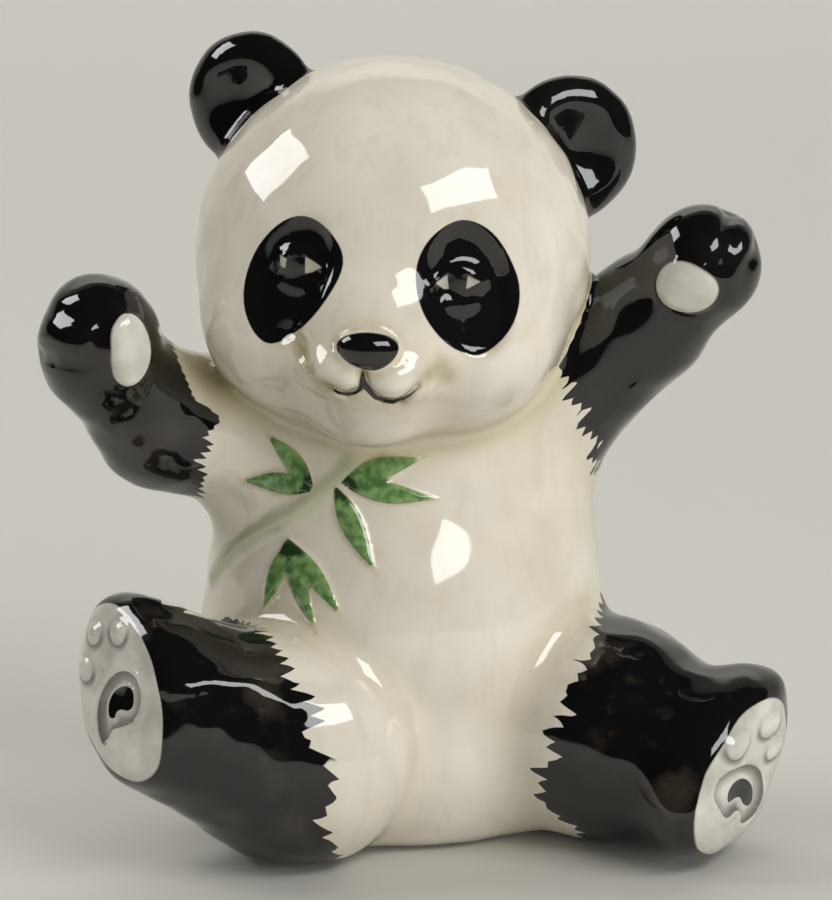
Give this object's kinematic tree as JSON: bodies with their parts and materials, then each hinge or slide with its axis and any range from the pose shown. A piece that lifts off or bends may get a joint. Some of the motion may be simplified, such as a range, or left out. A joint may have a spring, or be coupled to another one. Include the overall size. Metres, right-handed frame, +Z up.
{
  "type": "animal figurine",
  "caption": "Glazed earthenware figurine of a seated panda cub with both arms raised and a bamboo sprig on its chest.",
  "frame": {"origin": "centre of the bounding box's footprint, on the flat seat that the figurine rests on", "axes": "+Z up, from the seat to the ears; -Y is where the figurine faces; +X is its left-hand side"},
  "size_m": [0.0878, 0.0563, 0.0949],
  "materials": {
    "glazed earthenware": "gloss"
  },
  "bodies": {
    "root": {"panda": "glazed earthenware"}
  },
  "joints": []
}
